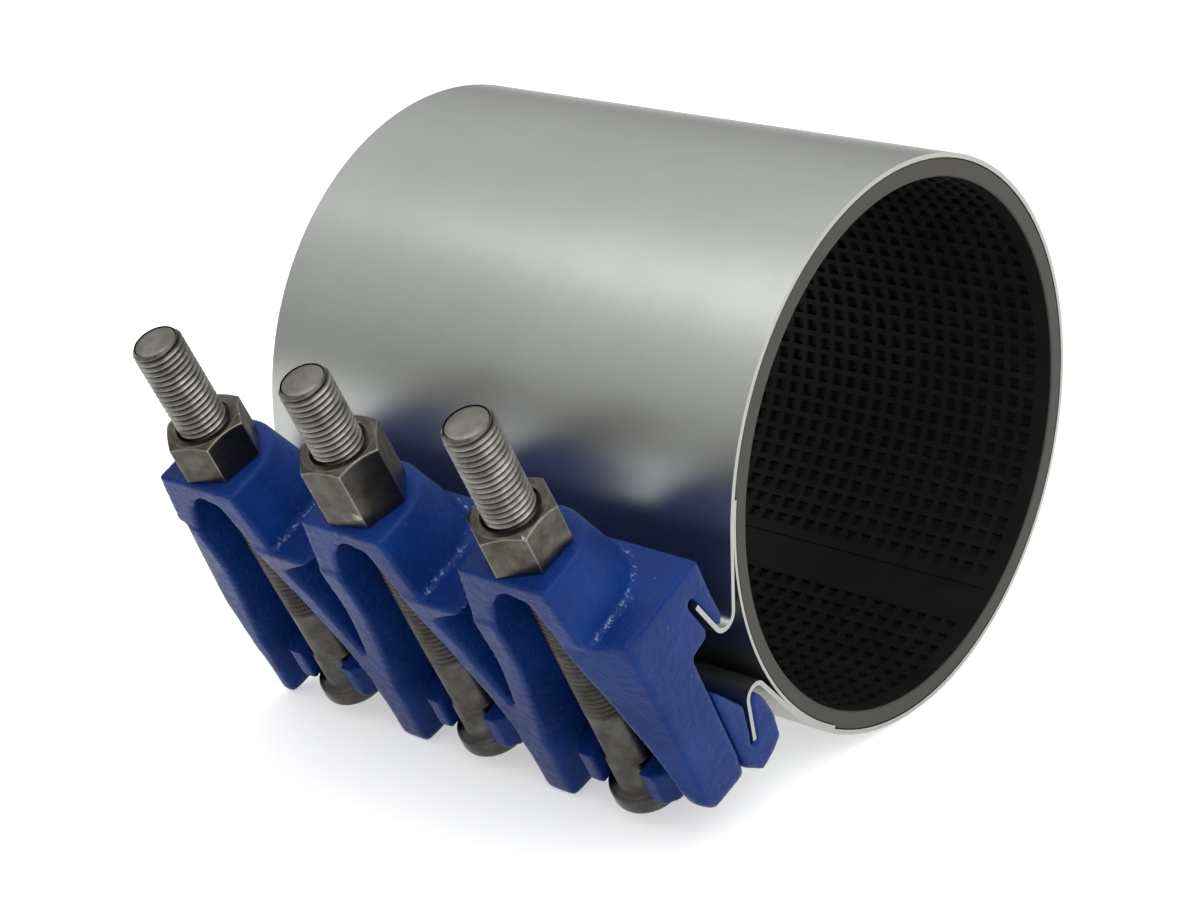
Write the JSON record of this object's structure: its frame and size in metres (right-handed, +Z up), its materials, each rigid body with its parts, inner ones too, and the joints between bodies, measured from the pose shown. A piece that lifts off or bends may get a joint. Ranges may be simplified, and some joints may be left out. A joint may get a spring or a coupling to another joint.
{
  "type": "pipe repair clamp",
  "caption": "Wraparound pipe repair clamp: stainless band over a ribbed rubber gasket, drawn shut by bolted blue lug castings hooked into its folded ends.",
  "frame": {"origin": "centre of the pipe bore, at mid length of the band", "axes": "+X along the pipe toward the end whose lug finger is short; +Z up as it rests on its band and the long finger tips; the bolts stand on the -Y side"},
  "size_m": [0.19, 0.2584, 0.1833],
  "materials": {
    "band_steel": "matte mill finish stainless sheet",
    "bridge_steel": "matte stainless sheet",
    "gasket_rubber": "black, waffle pattern",
    "lug_paint": "satin epoxy on cast iron",
    "bolt_zinc": "dull zinc",
    "nut_zinc": "dull zinc"
  },
  "bodies": {
    "clamp": {"shell_band": "band_steel", "gasket": "gasket_rubber", "bridge_plate": "bridge_steel", "upper_lug": "lug_paint", "lower_lug": "lug_paint"},
    "bolt_1": {"bolt_1": "bolt_zinc"},
    "bolt_2": {"bolt_2": "bolt_zinc"},
    "bolt_3": {"bolt_3": "bolt_zinc"},
    "nut_1": {"nut_1": "nut_zinc"},
    "nut_2": {"nut_2": "nut_zinc"},
    "nut_3": {"nut_3": "nut_zinc"}
  },
  "joints": [
    {"name": "bolt_1_drop", "type": "slide", "parent": "clamp", "child": "bolt_1", "axis": [0, 0.3998, -0.9166], "range_m": [0, 0.005]},
    {"name": "bolt_2_drop", "type": "slide", "parent": "clamp", "child": "bolt_2", "axis": [0, 0.3998, -0.9166], "range_m": [0, 0.005]},
    {"name": "bolt_3_drop", "type": "slide", "parent": "clamp", "child": "bolt_3", "axis": [0, 0.3998, -0.9166], "range_m": [0, 0.005]},
    {"name": "nut_1_turn", "type": "hinge", "parent": "clamp", "child": "nut_1", "pos_m": [-0.063, -0.14338, 0.02255], "axis": [0, -0.3998, 0.9166], "range_deg": [0, 900.5]},
    {"name": "nut_2_turn", "type": "hinge", "parent": "clamp", "child": "nut_2", "pos_m": [0, -0.14338, 0.02255], "axis": [0, -0.3998, 0.9166], "range_deg": [0, 900.5]},
    {"name": "nut_3_turn", "type": "hinge", "parent": "clamp", "child": "nut_3", "pos_m": [0.063, -0.14338, 0.02255], "axis": [0, -0.3998, 0.9166], "range_deg": [0, 900.5]}
  ],
  "couplings": [
    {"joint": "nut_1_turn", "follows": "bolt_1_drop", "rad_per_m": 3141.6},
    {"joint": "nut_2_turn", "follows": "bolt_2_drop", "rad_per_m": 3141.6},
    {"joint": "nut_3_turn", "follows": "bolt_3_drop", "rad_per_m": 3141.6}
  ]
}
